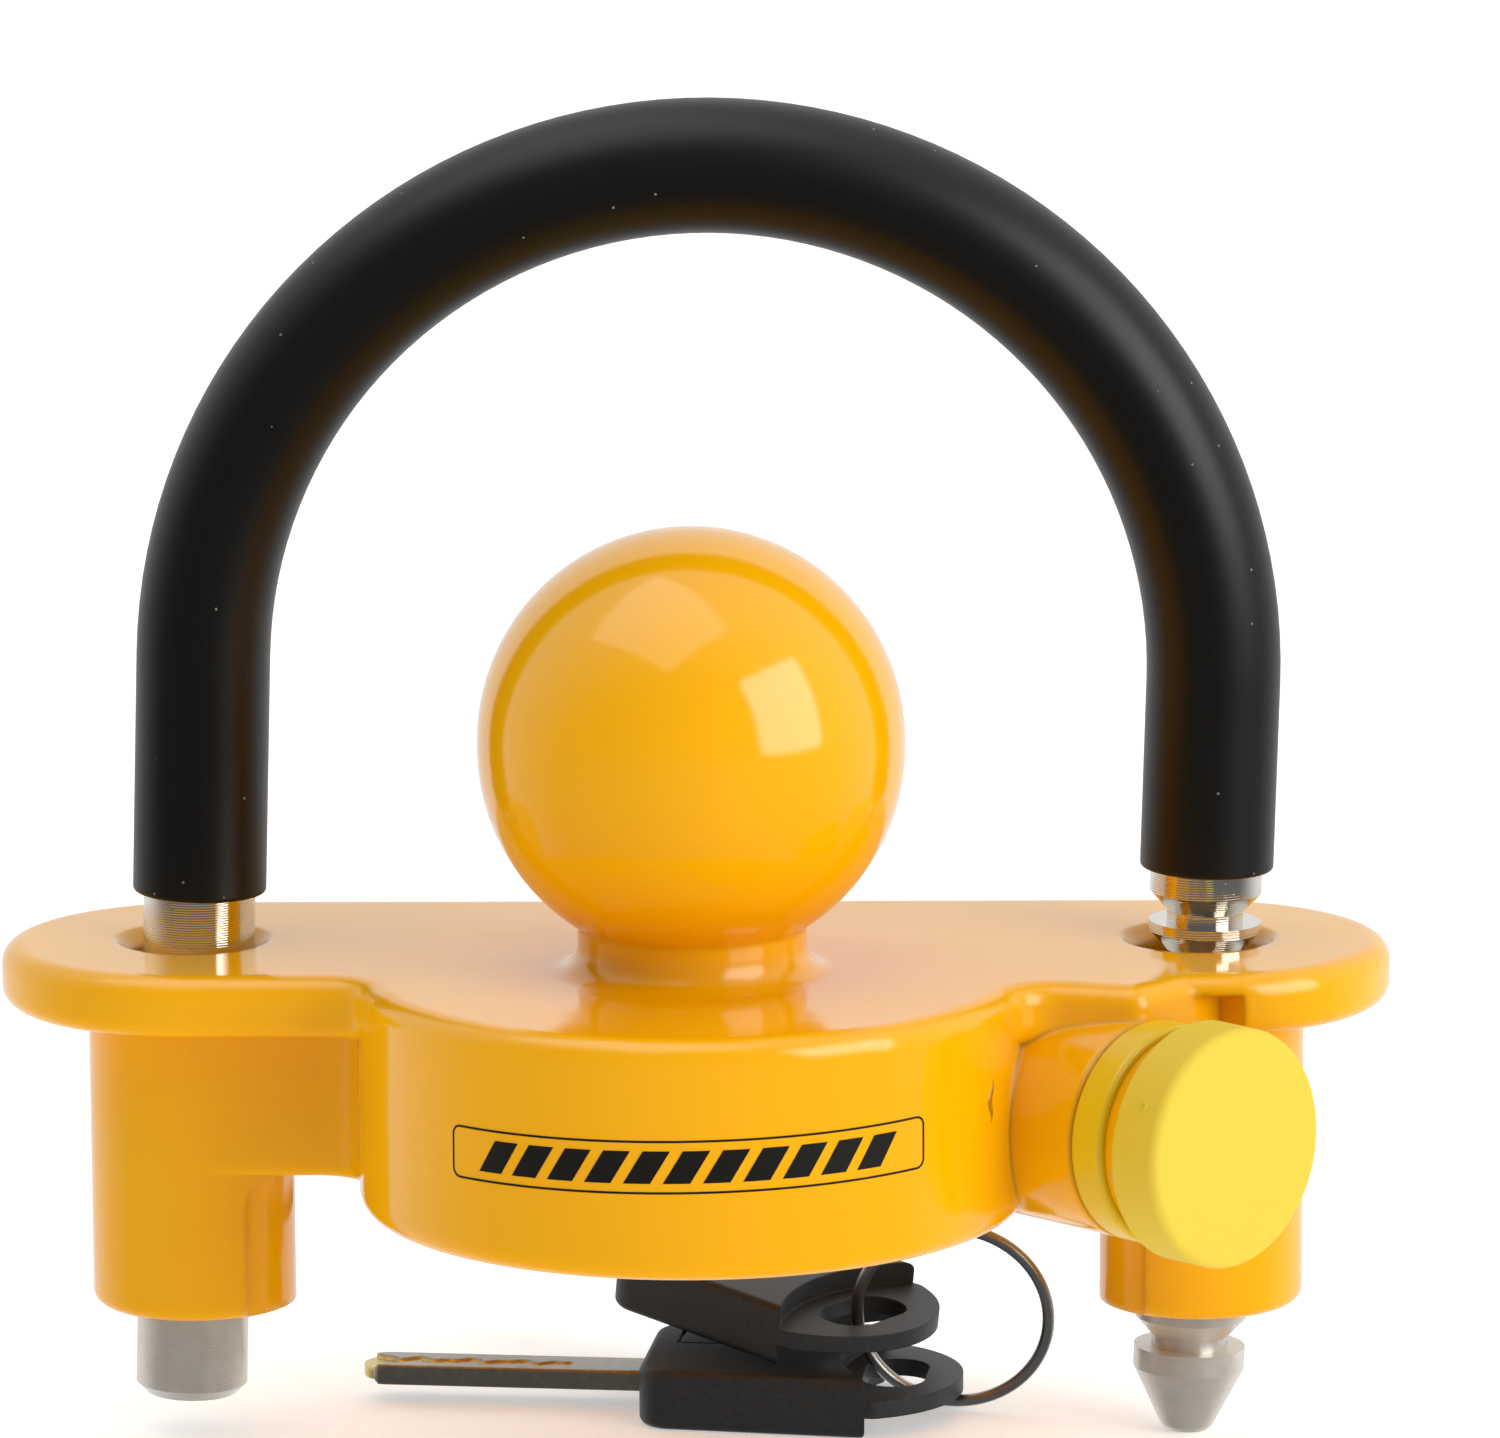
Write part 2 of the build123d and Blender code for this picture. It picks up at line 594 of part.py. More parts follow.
# ---------------------------------------------------------------- dust cap, in the lock frame
def cap_ring():
    """The soft ring stretched over the nose, which keeps the cap."""
    ring = Cylinder(ring_radius, ring_thickness, align=LOW)
    ring = fillet(ring.edges().filter_by(GeomType.CIRCLE), ring_edge_radius)
    ring -= Cylinder(nose_radius + ring_clearance, ring_thickness, align=LOW)
    return Pos(housing_seat_x + ring_seat_gap, 0, 0) * lay(ring)


def dust_cap():
    """The push-on cup over the lock's face."""
    cup = Cylinder(cap_radius, cap_length, align=LOW)
    cup = fillet(edges_at(cup, cap_length), cap_edge_radius)
    cup = fillet(edges_at(cup, 0), cap_rear_edge_radius)
    cup -= Cylinder(nose_radius + cap_clearance, cap_length - cap_front_wall, align=LOW)
    return Pos(cap_back_x, 0, 0) * lay(cup)


def cap_strap():
    """The short tab on the ring that carries the cap's hinge."""
    inner = ring_radius + strap_lift
    length = ring_thickness + cap_gap - strap_end_gap - 2 * ring_edge_radius
    band = Cylinder(inner + strap_thickness, length, align=LOW) - Cylinder(inner, length, align=LOW)
    tab = band & Pos(0, inner, 0) * Box(strap_width, 4 * strap_thickness, length, align=LOW)
    return Pos(housing_seat_x + 2 * ring_edge_radius, 0, 0) * lay(tab)


# ---------------------------------------------------------------- keys
def key_head():
    """A moulded grip lying flat, blade end at the origin, running along +Y."""
    half_root = key_head_root_width / 2
    half = key_head_width / 2
    sides = Polyline((-half, key_shoulder), (-half_root, 0), (half_root, 0), (half, key_shoulder))
    crown = ThreePointArc((half, key_shoulder), (0, key_head_length), (-half, key_shoulder))
    outline = make_face(Curve() + [sides, crown])
    low = outline.vertices().sort_by(Axis.Y)[:2]
    outline = fillet(low, key_corner_radius)
    high = [v for v in outline.vertices() if abs(v.Y - key_shoulder) < 0.1]
    outline = fillet(high, key_shoulder_radius)
    grip = extrude(outline, key_head_thickness)
    grip = fillet(edges_at(grip, 0) + edges_at(grip, key_head_thickness), key_edge_radius)
    step = (key_head_thickness - key_web_thickness) / 2
    ridge = Pos(0, key_web_start + key_ridge_radius) * Circle(key_ridge_radius)
    for z in (-1, key_head_thickness - step):
        grip -= Pos(0, 0, z) * extrude(ridge, step + 1)
    panel = Pos(key_panel_offset, key_panel_start + key_panel_length / 2)
    line = Rectangle(key_panel_width, key_panel_length)
    line -= Rectangle(key_panel_width - 2 * key_panel_line, key_panel_length - 2 * key_panel_line)
    for z in (0, key_head_thickness - key_panel_depth):
        grip -= Pos(0, 0, z) * panel * extrude(line, key_panel_depth)
    eye = Pos(0, key_hole_centre) * SlotOverall(key_hole_length, key_hole_width)
    grip -= Pos(0, 0, -1) * extrude(eye, key_head_thickness + 2)
    tang = Box(key_blade_width + key_fit, key_blade_root, key_blade_thickness + key_fit)
    return grip - Pos(0, key_blade_root / 2, key_head_thickness / 2) * tang


def key_blade():
    """A flat steel blade with one milled groove down each face."""
    length = key_blade_length + key_blade_root
    flat = Box(key_blade_width, length, key_blade_thickness, align=(Align.CENTER, Align.MAX, Align.CENTER))
    tip = flat.edges().filter_by(Axis.Z).group_by(Axis.Y)[0]
    flat = fillet(tip, key_blade_width * key_tip_rounding)
    flat = Pos(0, key_blade_root, 0) * flat
    groove_length = key_blade_length * key_groove_share
    for z in (-1, 1):
        cut = Box(key_groove_width, groove_length, 2 * key_groove_depth)
        flat -= Pos(key_blade_offset, -key_blade_length + groove_length / 2, z * key_blade_thickness / 2) * cut
    return Pos(0, 0, key_head_thickness / 2) * flat


def key_a_location():
    x, y = key_a_place
    return Pos(x, y, floor_z) * Rot(0, 0, key_a_heading)


def key_b_location():
    """The second key lies over the first, swung about the eye and tipped so its blade comes down."""
    eye = Pos(0, key_hole_centre + key_b_shift, key_head_thickness + key_stack_gap)
    return key_a_location() * eye * Rot(0, 0, key_b_swing) * Rot(key_b_tilt, 0, 0) * Pos(0, -key_hole_centre, 0)


def key_ring():
    """The wire ring that stands in both eyes, leaning over a little."""
    centre_z = ring_bottom_gap + ring_wire / 2 + ring_centre_radius
    mid_z = key_head_thickness / 2
    half_chord = math.sqrt(ring_centre_radius**2 - (centre_z - mid_z) ** 2)
    ring = Pos(0, key_hole_centre + half_chord, centre_z - mid_z) * Rot(0, 90, 0)
    ring = ring * Torus(ring_centre_radius, ring_wire / 2)
    return key_a_location() * Pos(0, 0, mid_z) * Rot(0, ring_lean, 0) * ring


os.makedirs("parts", exist_ok=True)
keep(body_casting(), "body_casting")
keep(shackle_bar(), "shackle_bar")
keep(shackle_sleeve(), "shackle_sleeve")
keep(in_lock(lock_barrel()), "lock_barrel")
keep(in_lock(face_shield()), "face_shield")
keep(in_lock(lock_plug()), "lock_plug")
keep(in_lock(plug_clip()), "plug_clip")
keep(in_lock(plug_cam()), "plug_cam")
keep(in_lock(pawl()), "pawl")
keep(in_lock(spring_plug()), "spring_plug")
keep(in_lock(pawl_spring()), "pawl_spring")
keep(in_lock(barrel_pin()), "barrel_pin")
keep(in_lock(cap_ring()), "cap_ring")
keep(in_lock(dust_cap()), "dust_cap")
keep(in_lock(cap_strap()), "cap_strap")
export_step(Compound(children=wafers()), "parts/wafers.step")
export_step(Compound(children=wafer_springs()), "parts/wafer_springs.step")
keep(key_a_location() * key_head(), "key_a_head")
keep(key_a_location() * key_blade(), "key_a_blade")
keep(key_b_location() * key_head(), "key_b_head")
keep(key_b_location() * key_blade(), "key_b_blade")
keep(key_ring(), "key_ring")
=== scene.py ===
import math

import bpy
import numpy as np
from mathutils import Matrix, Vector


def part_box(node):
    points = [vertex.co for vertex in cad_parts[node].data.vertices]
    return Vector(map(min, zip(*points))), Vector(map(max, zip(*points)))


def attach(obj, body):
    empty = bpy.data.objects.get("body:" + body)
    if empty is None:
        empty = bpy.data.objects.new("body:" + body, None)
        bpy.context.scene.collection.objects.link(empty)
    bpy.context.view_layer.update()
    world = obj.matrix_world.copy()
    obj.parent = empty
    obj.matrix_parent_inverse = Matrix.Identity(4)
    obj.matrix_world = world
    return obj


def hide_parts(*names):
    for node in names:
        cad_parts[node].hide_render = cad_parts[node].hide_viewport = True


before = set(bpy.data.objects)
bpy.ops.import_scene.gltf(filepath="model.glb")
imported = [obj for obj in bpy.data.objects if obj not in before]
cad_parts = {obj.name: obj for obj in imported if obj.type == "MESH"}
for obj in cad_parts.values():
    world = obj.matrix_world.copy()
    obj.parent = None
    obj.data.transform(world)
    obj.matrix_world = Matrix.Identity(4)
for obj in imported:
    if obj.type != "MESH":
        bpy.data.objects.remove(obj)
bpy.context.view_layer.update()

# ------------------------------------------------------------------ camera
# A long lens about a metre from the lock, a little above the plate and nearly square to it, with
# a slight roll.
camera_place = Vector((0.02155, -1.03711, 0.20358))
camera_azimuth = math.radians(0.828)
camera_elevation = math.radians(10.979)
camera_roll = math.radians(-0.298)

right = Vector((math.cos(camera_azimuth), math.sin(camera_azimuth), 0.0))
level = math.cos(camera_elevation)
forward = Vector((-right.y * level, right.x * level, -math.sin(camera_elevation)))
upward = right.cross(forward)
rolled_right = math.cos(camera_roll) * right + math.sin(camera_roll) * upward
rolled_up = rolled_right.cross(forward)
turn = Matrix((rolled_right, rolled_up, -forward)).transposed()

lens = bpy.data.cameras.new("camera")
lens.lens = 228.49
lens.sensor_width = 36.0
camera = bpy.data.objects.new("camera", lens)
camera.matrix_world = Matrix.Translation(camera_place) @ turn.to_4x4()
bpy.context.scene.collection.objects.link(camera)
bpy.context.scene.camera = camera


# ------------------------------------------------------------------ floor and light
# A pale light table under the lock, glowing faintly from below, lit by a large window-like panel on
# the right, a panel overhead and a faint tall panel on the left.
floor_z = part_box("shackle_bar")[0].z
table_reach = 6.0
table_glow = 0.38
room_dim = 0.16               # the room's glow in front of the lock
room_bright = 0.92            # and behind it


def linear(code):
    """A colour written as sRGB hex, turned to linear light: the low end over 12.92, the rest by the
    2.4 power."""
    srgb = np.array([int(code[k:k + 2], 16) for k in (1, 3, 5)]) / 255.0
    low = srgb / 12.92
    high = ((srgb + 0.055) / 1.055) ** 2.4
    return (*np.where(srgb <= 0.04045, low, high).tolist(), 1.0)


def add(tree, kind, inputs=None, **settings):
    """Adds one shader node with its settings, and values or links for its sockets."""
    node = tree.nodes.new("ShaderNode" + kind)
    for name, value in settings.items():
        setattr(node, name, value)
    for name, value in (inputs or {}).items():
        if isinstance(value, bpy.types.NodeSocket):
            tree.links.new(value, node.inputs[name])
        else:
            node.inputs[name].default_value = value
    return node


def new_finish(name):
    """An empty material and its node tree."""
    material = bpy.data.materials.new(name)
    material.use_nodes = True
    material.node_tree.nodes.clear()
    return material, material.node_tree


def surface(tree, **inputs):
    """The one shader of a finish; socket names are written with underscores for spaces."""
    named = {name.replace("_", " "): value for name, value in inputs.items()}
    shader = add(tree, "BsdfPrincipled", named)
    add(tree, "OutputMaterial", {"Surface": shader.outputs[0]})


def grid_mesh(name, points, wrap=False, cap=False):
    """A mesh from a grid of points (rows by columns by 3): each cell is a quad, wrap joins the last
    column to the first, and cap closes the first and last rows with a face."""
    rows, columns = points.shape[:2]
    index = np.arange(rows * columns).reshape(rows, columns)
    if wrap:
        index = np.hstack([index, index[:, :1]])
    corners = [index[:-1, :-1], index[:-1, 1:], index[1:, 1:], index[1:, :-1]]
    faces = np.stack(corners, axis=-1).reshape(-1, 4).tolist()
    if cap:
        faces += [index[0, :columns][::-1].tolist(), index[-1, :columns].tolist()]
    mesh = bpy.data.meshes.new(name)
    mesh.from_pydata(points.reshape(-1, 3).tolist(), [], faces)
    mesh.shade_smooth()
    made = bpy.data.objects.new(name, mesh)
    bpy.context.scene.collection.objects.link(made)
    return made


# Opal acrylic: matte and nearly white, so that it reads as a plain pale ground. It is hidden from
# glossy rays, which the real table wouldn't be, to keep its white out of the enamel's front.
acrylic, tree = new_finish("opal_acrylic")
surface(tree, Base_Color=linear("#F4F4F2"), Roughness=0.9, Specular_IOR_Level=0.1,
        Emission_Color=(1.0, 1.0, 1.0, 1.0), Emission_Strength=table_glow)
span = np.linspace(-table_reach, table_reach, 3)
x, y = np.meshgrid(span, span)
ground = grid_mesh("ground", np.stack([x, y, np.full_like(x, floor_z)], axis=-1))
ground.data.materials.append(acrylic)
ground.visible_glossy = False


def panel(name, place, size, strength, in_gloss=True):
    """A rectangular soft box at place, facing the lock; strength is in watts, and in_gloss says
    whether the lock's gloss shows it."""
    light = bpy.data.lights.new(name, "AREA")
    light.shape = "RECTANGLE"
    light.size, light.size_y = size
    light.energy = strength
    lamp = bpy.data.objects.new(name, light)
    lamp.rotation_mode = "QUATERNION"
    lamp.rotation_quaternion = (-Vector(place)).to_track_quat("-Z", "Y")
    lamp.location = place
    lamp.visible_glossy = in_gloss
    bpy.context.scene.collection.objects.link(lamp)


panel("window_panel", (0.95, -0.62, 0.44), (0.82, 0.92), 9.5)
panel("overhead_panel", (-0.25, -0.2, 1.1), (1.1, 0.9), 3.8)
panel("left_panel", (-1.1, -0.5, 0.25), (0.35, 0.9), 0.4, in_gloss=False)


def studio_air():
    """The room round the lock: bright behind and overhead, and darker towards the front, so that
    the gloss shows deep colour in front and white at its edges."""
    room = bpy.data.worlds.new("studio")
    room.use_nodes = True
    room.node_tree.nodes.clear()
    tree = room.node_tree
    way = add(tree, "TexCoord").outputs["Generated"]
    parts = add(tree, "SeparateXYZ", {"Vector": way})
    lift = add(tree, "Math", {0: parts.outputs["Z"], 1: 0.5}, operation="MULTIPLY")
    toward = add(tree, "Math", {0: parts.outputs["Y"], 1: lift.outputs[0]}, operation="ADD")
    glow = add(tree, "MapRange", {"Value": toward.outputs[0], "From Min": -0.55, "From Max": 0.65,
                                  "To Min": room_dim, "To Max": room_bright},
               interpolation_type="SMOOTHSTEP")
    air = add(tree, "Background", {"Color": (1.0, 1.0, 1.0, 1.0), "Strength": glow.outputs[0]})
    add(tree, "OutputWorld", {"Surface": air.outputs[0]})
    return room


bpy.context.scene.world = studio_air()
bpy.context.scene.view_settings.view_transform = "Standard"


# ------------------------------------------------------------------ body casting
# The lock's body is one iron casting: plate, drum, webs, bosses, neck and ball. It is dipped in a
# thick orange-yellow enamel that rounds its edges and fills its corners.
enamel_edge = 0.0015          # how far the enamel rounds an edge or fills a corner
enamel_wave = 0.011           # size of the slow waves that the casting leaves in the gloss
enamel_peel = 0.0016          # orange peel
enamel_cloud = 0.03           # size of the slight clouds in its colour
wave_height = 0.00025
peel_height = 0.00001


def paint_on(node, material):
    """Gives a CAD node its finish."""
    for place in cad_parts[node].material_slots:
        place.material = material


def enamel():
    """Gloss enamel over cast iron: deep warm yellow, mirror-like but slowly wavy, with soft edges."""
    material, tree = new_finish("gloss_enamel")
    place = add(tree, "TexCoord").outputs["Object"]
    cloud = add(tree, "TexNoise", {"Vector": place, "Scale": 1 / enamel_cloud, "Detail": 2.0})
    tint = add(tree, "Mix", {"Factor": cloud.outputs[0], "A": linear("#EEA800"), "B": linear("#F3AE00")},
               data_type="RGBA")
    wave = add(tree, "TexNoise", {"Vector": place, "Scale": 1 / enamel_wave, "Detail": 1.0})
    peel = add(tree, "TexNoise", {"Vector": place, "Scale": 1 / enamel_peel, "Detail": 1.0})
    soft = add(tree, "Bevel", {"Radius": enamel_edge}, samples=6)
    slow = add(tree, "Bump", {"Height": wave.outputs[0], "Distance": wave_height, "Strength": 0.35,
                              "Normal": soft.outputs[0]})
    fine = add(tree, "Bump", {"Height": peel.outputs[0], "Distance": peel_height, "Strength": 0.3,
                              "Normal": slow.outputs[0]})
    surface(tree, Base_Color=tint.outputs["Result"], Roughness=0.11, IOR=1.5, Coat_Weight=0.25,
            Coat_Roughness=0.05, Normal=fine.outputs[0], Coat_Normal=slow.outputs[0])
    return material


paint_on("body_casting", enamel())


# ------------------------------------------------------------------ drum's label
# A thin printed label on the drum's front: a rounded outline with plain slanted bars in it, wrapped
# round the drum and a touch off level.
drum_radius = 0.0374
label_proud = 0.00004
label_half_angle = math.radians(43.2)
label_middle_z = -0.0397
label_half_height = 0.00285
label_corner = 0.0010
label_line = 0.00024
label_tilt = math.radians(0.9)
label_margin = 0.0042         # outline's end to the first bar
ink_grain = 0.0008
outline_step = 0.001
bar_count = 11
bar_slant = 0.0022
bar_half_height = 0.0018
bar_fill = 0.68               # bar's width over the bars' pitch
bar_lead = 0.16               # gap before a bar over the pitch


def on_drum(along, height):
    """Wraps flat label points round the drum: the way along becomes an angle from the front, the
    height is tilted a little, and the radius stands proud by the ink's thickness."""
    angle = along / drum_radius
    lift = label_middle_z + height + along * math.tan(label_tilt)
    reach = drum_radius + label_proud
    return np.stack([reach * np.sin(angle), -reach * np.cos(angle), lift], axis=-1)


def printing_ink():
    """Screen ink: near black, with a satin sheen that varies in a fine grain."""
    material, tree = new_finish("printing_ink")
    place = add(tree, "TexCoord").outputs["Object"]
    grain = add(tree, "TexNoise", {"Vector": place, "Scale": 1 / ink_grain, "Detail": 2.0})
    rough = add(tree, "MapRange", {"Value": grain.outputs[0], "To Min": 0.25, "To Max": 0.4})
    surface(tree, Base_Color=linear("#16130D"), Roughness=rough.outputs[0])
    return material


ink = printing_ink()


def label_outline():
    """A band that follows a rounded rectangle: each point of the outline is moved in and out along
    the corner circles' radius by half the line's width."""
    half = label_half_angle * drum_radius
    steps_round = 9
    turn_angle = np.linspace(0.0, math.pi / 2, steps_round)
    loop = []
    for quarter, (sx, sz) in enumerate(((1, 1), (-1, 1), (-1, -1), (1, -1))):
        angle = turn_angle + quarter * math.pi / 2
        centre_x = sx * (half - label_corner)
        centre_z = sz * (label_half_height - label_corner)
        centres = np.full(steps_round, centre_x), np.full(steps_round, centre_z)
        loop.append(np.stack([*centres, angle], axis=1))
    loop = np.vstack(loop)
    dense = []
    ring = np.vstack([loop, loop[:1] + [0, 0, 2 * math.pi]])
    for a, b in zip(ring[:-1], ring[1:]):
        steps = max(1, int(math.hypot(b[0] - a[0], b[1] - a[1]) / outline_step))
        share = np.arange(steps)[:, None] / steps
        dense.append(a + share * (b - a))
    dense = np.vstack(dense)
    rows = []
    for reach in (label_corner - label_line / 2, label_corner + label_line / 2):
        along = dense[:, 0] + reach * np.cos(dense[:, 2])
        height = dense[:, 1] + reach * np.sin(dense[:, 2])
        rows.append(on_drum(along, height))
    return np.stack(rows, axis=0)


outline = grid_mesh("label_outline", label_outline(), wrap=True)
outline.data.materials.append(ink)
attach(outline, "casting")

bar_span = 2 * (label_half_angle * drum_radius - label_margin)
bar_pitch = bar_span / bar_count
for k in range(bar_count):
    u, v = np.meshgrid(np.linspace(0.0, 1.0, 9), np.linspace(-1.0, 1.0, 5))
    start = -bar_span / 2 + k * bar_pitch
    along = start + bar_pitch * (bar_lead + bar_fill * u) + v * bar_slant / 2
    bar = grid_mesh(f"label_bar_{k + 1:02d}", on_drum(along, v * bar_half_height))
    bar.data.materials.append(ink)
    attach(bar, "casting")


# ------------------------------------------------------------------ paint crease
# A short run in the enamel on the drum's right, where the paint folded over and went brown.
crease_angle = math.radians(62)
crease_length = 0.0052
crease_width = 0.0005
crease_height = 0.00022
crease_middle_z = -0.0372
crease_sink = 0.00003         # how far its rim lies under the paint
crease_grain = 0.0006


def crease_points():
    """A thin spindle lying on the drum: its half width follows a sine along its length and wavers a
    little, and its height is a parabola across it that ends just under the paint."""
    along, across = np.meshgrid(np.linspace(0.02, 0.98, 28), np.linspace(-1.0, 1.0, 9), indexing="ij")
    swell = np.sin(math.pi * along)
    waver = 0.0003 * np.sin(9 * along) + 0.0004 * along
    angle = crease_angle + (waver + crease_width * swell * across) / drum_radius
    reach = drum_radius + crease_height * swell * (1 - across**2) - crease_sink
    height = crease_middle_z + crease_length * (along - 0.5)
    return np.stack([reach * np.sin(angle), -reach * np.cos(angle), height], axis=-1)


def folded_enamel():
    """Enamel gone thin where it folded: small clouds of brown and dark orange, still glossy."""
    material, tree = new_finish("folded_enamel")
    place = add(tree, "TexCoord").outputs["Object"]
    cloud = add(tree, "TexNoise", {"Vector": place, "Scale": 1 / crease_grain, "Detail": 3.0})
    tint = add(tree, "Mix", {"Factor": cloud.outputs[0], "A": linear("#6E4306"), "B": linear("#D88F05")},
               data_type="RGBA")
    surface(tree, Base_Color=tint.outputs["Result"], Roughness=0.25)
    return material


crease = grid_mesh("paint_crease", crease_points())
crease.data.materials.append(folded_enamel())
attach(crease, "casting")


# ------------------------------------------------------------------ shackle
# A half-inch steel rod bent to a U and bright-plated. Its right leg is turned with notches, and the
# plate goes from bright to satin between the two heights below.
plate_bright_z = -0.03
plate_dull_z = -0.07
blotch_size = 0.002
lathe_pitch = 0.0009
pit_spacing = 0.0012
plate_relief = 0.00002


def bright_plate():
    """Nickel plate over turned steel: bright high up, satin and partly oxidised near the ends, with
    fine lathe rings and a few pits."""
    material, tree = new_finish("nickel_plate")
    place = add(tree, "TexCoord").outputs["Object"]
    height = add(tree, "SeparateXYZ", {"Vector": place}).outputs["Z"]
    dull = add(tree, "MapRange", {"Value": height, "From Min": plate_bright_z, "From Max": plate_dull_z,
                                  "To Min": 0.08, "To Max": 0.27})
    whole = add(tree, "MapRange", {"Value": height, "From Min": plate_bright_z, "From Max": plate_dull_z,
                                   "To Min": 1.0, "To Max": 0.6})
    blotch = add(tree, "TexNoise", {"Vector": place, "Scale": 1 / blotch_size, "Detail": 3.0})
    tint = add(tree, "Mix", {"Factor": blotch.outputs[0], "A": linear("#E6E2DA"), "B": linear("#CFCAC0")},
               data_type="RGBA")
    rings = add(tree, "TexWave", {"Vector": place, "Scale": 1 / lathe_pitch, "Distortion": 0.6,
                                  "Detail": 2.0}, bands_direction="Z")
    pits = add(tree, "TexVoronoi", {"Vector": place, "Scale": 1 / pit_spacing})
    pit = add(tree, "MapRange", {"Value": pits.outputs["Distance"], "From Min": 0.05, "From Max": 0.16})
    relief = add(tree, "Math", {0: rings.outputs["Fac"], 1: pit.outputs[0]}, operation="ADD")
    bump = add(tree, "Bump", {"Height": relief.outputs[0], "Distance": plate_relief, "Strength": 0.5})
    surface(tree, Base_Color=tint.outputs["Result"], Metallic=whole.outputs[0], Roughness=dull.outputs[0],
            Normal=bump.outputs[0])
    return material


paint_on("shackle_bar", bright_plate())


# ------------------------------------------------------------------ shackle sleeve
# A soft black vinyl tube pushed over the bar. It has a satin skin with a very fine grain, and dust
# that clings to it as pale specks.
speck_spacing = 0.0035
speck_share = 0.045           # a speck's radius over their spacing
sleeve_grain = 0.0004
sleeve_smear = 0.02


def black_vinyl():
    """Extruded soft vinyl: near black, broad soft highlights, a few dust specks."""
    material, tree = new_finish("black_vinyl")
    place = add(tree, "TexCoord").outputs["Object"]
    grain = add(tree, "TexNoise", {"Vector": place, "Scale": 1 / sleeve_grain, "Detail": 2.0})
    smear = add(tree, "TexNoise", {"Vector": place, "Scale": 1 / sleeve_smear, "Detail": 3.0})
    rough = add(tree, "MapRange", {"Value": smear.outputs[0], "To Min": 0.34, "To Max": 0.46})
    cell = add(tree, "TexVoronoi", {"Vector": place, "Scale": 1 / speck_spacing})
    near = add(tree, "Math", {0: cell.outputs["Distance"], 1: speck_share}, operation="LESS_THAN")
    chosen = add(tree, "SeparateColor", {"Color": cell.outputs["Color"]})
    few = add(tree, "Math", {0: chosen.outputs[0], 1: 0.55}, operation="GREATER_THAN")
    speck = add(tree, "Math", {0: near.outputs[0], 1: few.outputs[0]}, operation="MULTIPLY")
    tint = add(tree, "Mix", {"Factor": speck.outputs[0], "A": linear("#070707"), "B": linear("#6E6E6A")},
               data_type="RGBA")
    bump = add(tree, "Bump", {"Height": grain.outputs[0], "Distance": 0.00002, "Strength": 0.25})
    surface(tree, Base_Color=tint.outputs["Result"], Roughness=rough.outputs[0], Normal=bump.outputs[0],
            Specular_IOR_Level=0.4)
    return material


paint_on("shackle_sleeve", black_vinyl())


# ------------------------------------------------------------------ lock works
# The barrel and plug are turned brass, the wafers stamped brass, and the shield, cam, pawl, clip and
# pins steel. They sit inside the casting, and the barrel's face shows when the cap is opened.
metal_cloud = 0.004
tool_mark_height = 0.00001


def turned_metal(name, light_code, dark_code, roughness, ring):
    """Machined metal: two close tints in clouds and fine tool rings ring metres apart."""
    material, tree = new_finish(name)
    place = add(tree, "TexCoord").outputs["Object"]
    cloud = add(tree, "TexNoise", {"Vector": place, "Scale": 1 / metal_cloud, "Detail": 3.0})
    tint = add(tree, "Mix", {"Factor": cloud.outputs[0], "A": linear(light_code), "B": linear(dark_code)},
               data_type="RGBA")
    tool = add(tree, "TexWave", {"Vector": place, "Scale": 1 / ring, "Distortion": 1.0, "Detail": 2.0},
               wave_type="RINGS")
    bump = add(tree, "Bump", {"Height": tool.outputs["Fac"], "Distance": tool_mark_height, "Strength": 0.4})
    surface(tree, Base_Color=tint.outputs["Result"], Metallic=1.0, Roughness=roughness,
            Normal=bump.outputs[0])
    return material


brass = turned_metal("turned_brass", "#D9B25F", "#C49A48", 0.25, 0.0006)
steel = turned_metal("ground_steel", "#B9B9B7", "#A2A19E", 0.3, 0.0005)
spring_steel = turned_metal("spring_steel", "#8F8E8B", "#7C7B79", 0.28, 0.0004)

for node in ("lock_barrel", "lock_plug", "wafers"):
    paint_on(node, brass)
for node in ("face_shield", "plug_cam", "pawl"):
    paint_on(node, steel)
for node in ("barrel_pin", "spring_plug", "pawl_spring", "plug_clip", "wafer_springs"):
    paint_on(node, spring_steel)


# ------------------------------------------------------------------ dust cap
# Cap, ring and tab are one soft yellow vinyl moulding on the real lock. The cap's skin is matte and
# the ring's a little glossier, and a small gate mark shows on the cap's side.
vinyl_grain = 0.0006


def soft_vinyl(name, code, roughness):
    """Moulded soft vinyl: an even lemon yellow, faintly translucent, with a fine matte grain."""
    material, tree = new_finish(name)
    place = add(tree, "TexCoord").outputs["Object"]
    grain = add(tree, "TexNoise", {"Vector": place, "Scale": 1 / vinyl_grain, "Detail": 2.0})
    bump = add(tree, "Bump", {"Height": grain.outputs[0], "Distance": 0.00002, "Strength": 0.3})
    rough = add(tree, "MapRange", {"Value": grain.outputs[0], "To Min": roughness - 0.05,
                                   "To Max": roughness + 0.05})
    surface(tree, Base_Color=linear(code), Roughness=rough.outputs[0], Normal=bump.outputs[0],
            Subsurface_Weight=0.08, Subsurface_Radius=(0.002, 0.0015, 0.0004), Subsurface_Scale=1.0)
    return material


matte_vinyl = soft_vinyl("matte_vinyl", "#DFC232", 0.6)
shiny_vinyl = soft_vinyl("shiny_vinyl", "#E2BC14", 0.3)
paint_on("dust_cap", matte_vinyl)
paint_on("cap_ring", shiny_vinyl)
paint_on("cap_strap", shiny_vinyl)

